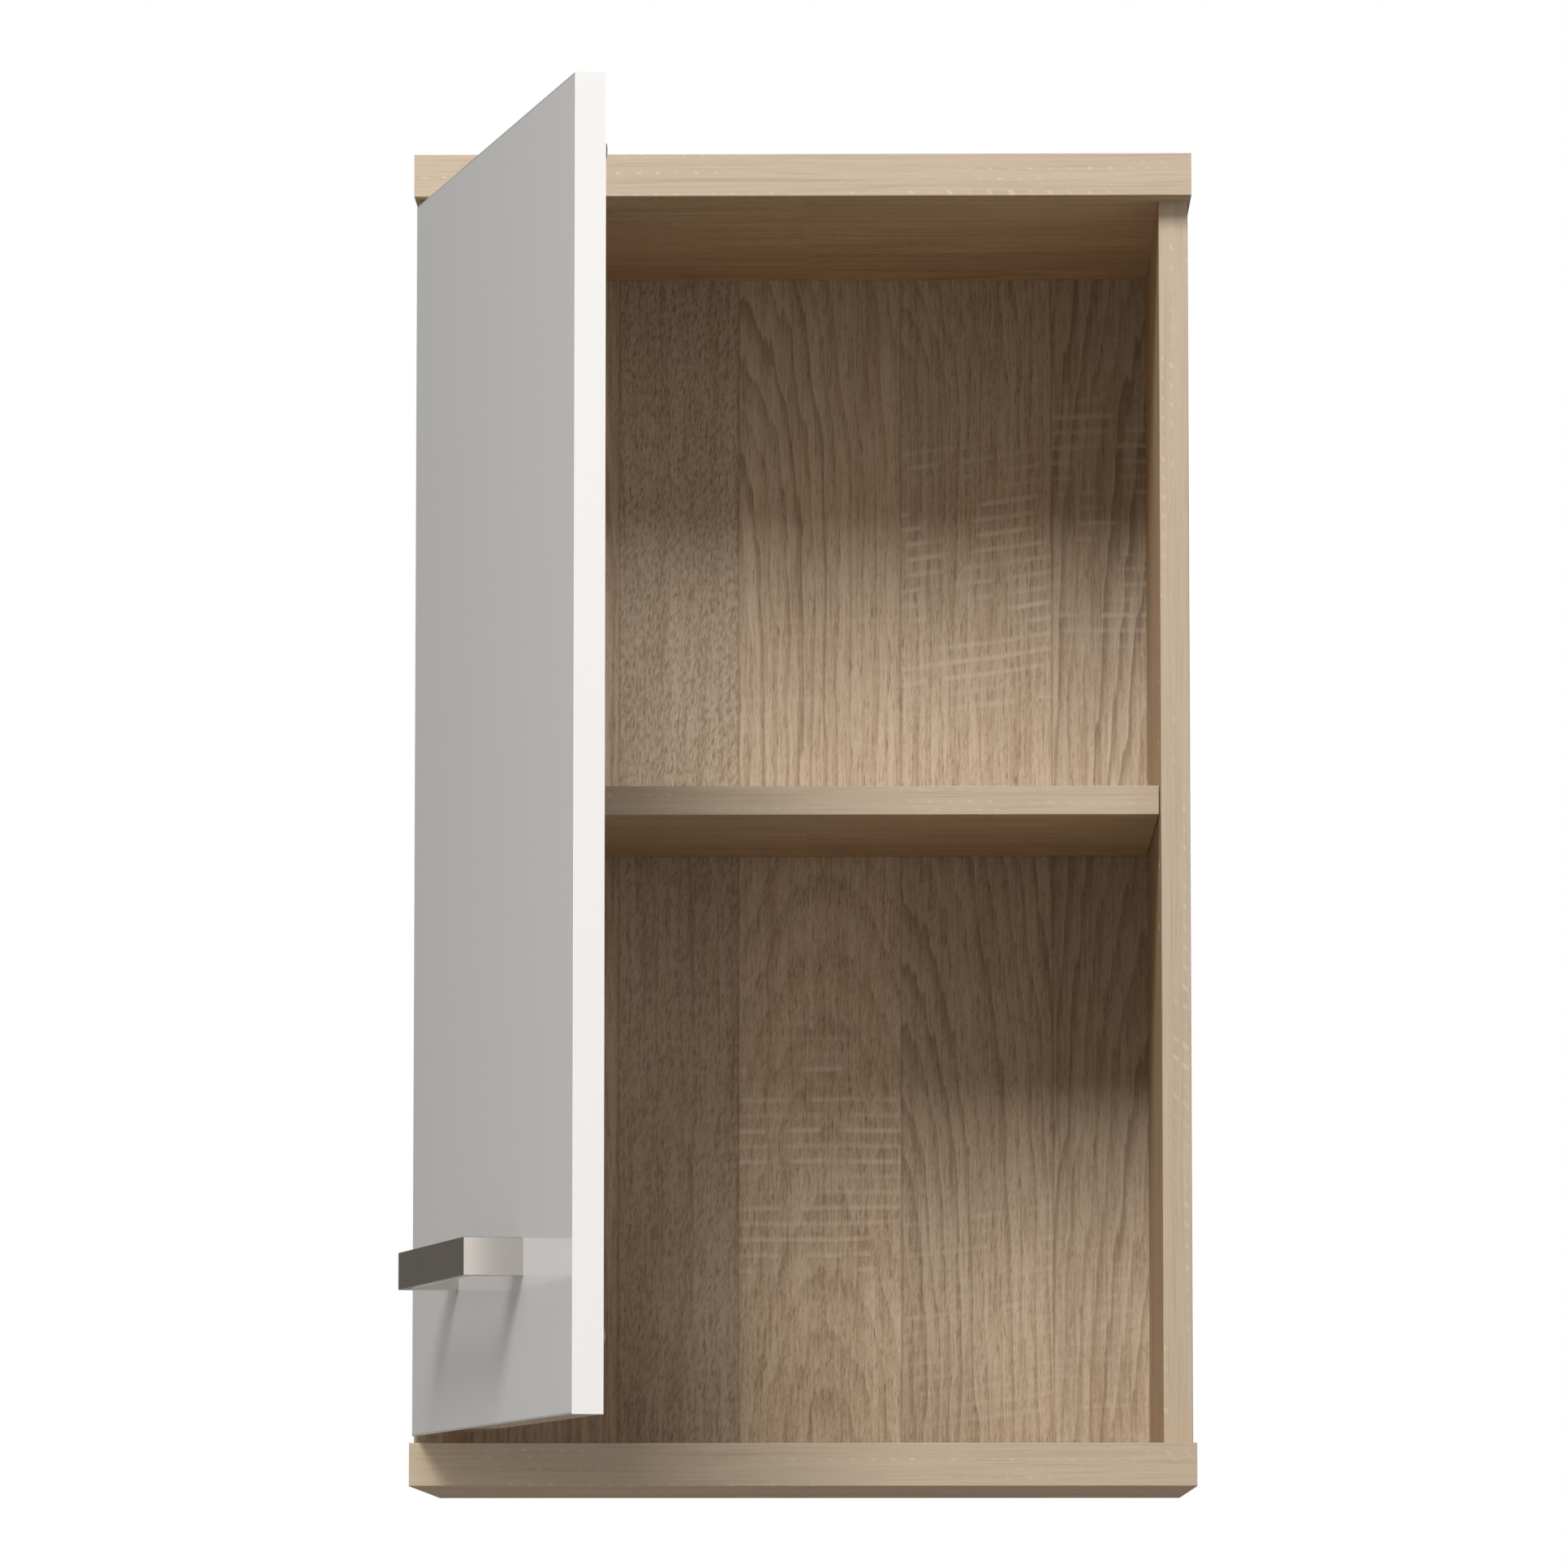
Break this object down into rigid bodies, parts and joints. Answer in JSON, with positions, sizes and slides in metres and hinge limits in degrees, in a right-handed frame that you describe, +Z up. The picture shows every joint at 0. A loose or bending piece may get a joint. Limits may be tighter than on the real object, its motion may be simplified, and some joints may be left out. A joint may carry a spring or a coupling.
{
  "type": "hanging wall cabinet",
  "caption": "Narrow wall-hung cabinet with oak-decor carcass, one adjustable shelf and a white gloss door on concealed cup hinges with a strap handle.",
  "frame": {"origin": "in the wall plane, midway between the holes of the two wall hangers", "axes": "+Z up, +Y into the wall, -Y the front; the door is hinged on the -X side and rests open by 76 degrees"},
  "size_m": [0.4, 0.6755, 0.684],
  "materials": {
    "oak_board": "matt printed oak decor on chipboard",
    "oak_back": "matt printed oak decor on thin fibreboard",
    "oak_edge": "matt oak edge banding",
    "white_gloss": "high-gloss white foil",
    "handle_metal": "satin metal",
    "nickel": "nickel-plated steel",
    "plated_steel": "zinc-plated steel",
    "zinc": "die-cast zinc",
    "beech": "plain beech",
    "clear_rubber": "translucent soft bumper"
  },
  "bodies": {
    "carcass": {"top_panel": "oak_board", "bottom_panel": "oak_board", "left_side_panel": "oak_board", "right_side_panel": "oak_board", "back_panel": "oak_back", "shelf": "oak_board", "top_edge_band": "oak_edge", "bottom_edge_band": "oak_edge", "left_side_edge_band": "oak_edge", "right_side_edge_band": "oak_edge", "shelf_edge_band": "oak_edge", "shelf_pins": "plated_steel", "corner_dowels": "beech", "cam_bolts": "plated_steel", "cam_locks": "zinc", "left_wall_hanger": "plated_steel", "right_wall_hanger": "plated_steel", "hanger_screws": "plated_steel", "lower_mounting_plate": "nickel", "upper_mounting_plate": "nickel", "lower_hinge_arm": "nickel", "upper_hinge_arm": "nickel", "arm_pins": "nickel", "hinge_plate_screws": "plated_steel", "arm_fixing_screws": "plated_steel", "side_adjusting_screws": "plated_steel"},
    "outer_links": {"lower_outer_link": "nickel", "upper_outer_link": "nickel"},
    "inner_links": {"lower_inner_link": "nickel", "upper_inner_link": "nickel"},
    "door": {"door_panel": "white_gloss", "door_edge_band": "white_gloss", "handle": "handle_metal", "handle_screws": "plated_steel", "door_bumpers": "clear_rubber", "lower_hinge_cup": "nickel", "upper_hinge_cup": "nickel", "cup_pins": "nickel", "hinge_cup_screws": "plated_steel"}
  },
  "joints": [
    {"name": "outer_link_swing", "type": "hinge", "parent": "carcass", "child": "outer_links", "pos_m": [-0.1665, -0.2855, 0], "axis": [0, 0, -1], "range_deg": [-1.92, 8.41]},
    {"name": "door_swing", "type": "hinge", "parent": "outer_links", "child": "door", "pos_m": [-0.18975, -0.29579, 0], "axis": [0, 0, -1], "range_deg": [-84.36, 18.87]},
    {"name": "inner_link_swing", "type": "hinge", "parent": "carcass", "child": "inner_links", "pos_m": [-0.1585, -0.28, 0], "axis": [0, 0, -1], "range_deg": [-4.2, 18.59]}
  ],
  "couplings": [
    {"joint": "outer_link_swing", "follows": "door_swing", "ratio": -0.099099},
    {"joint": "inner_link_swing", "follows": "door_swing", "ratio": -0.21982}
  ]
}
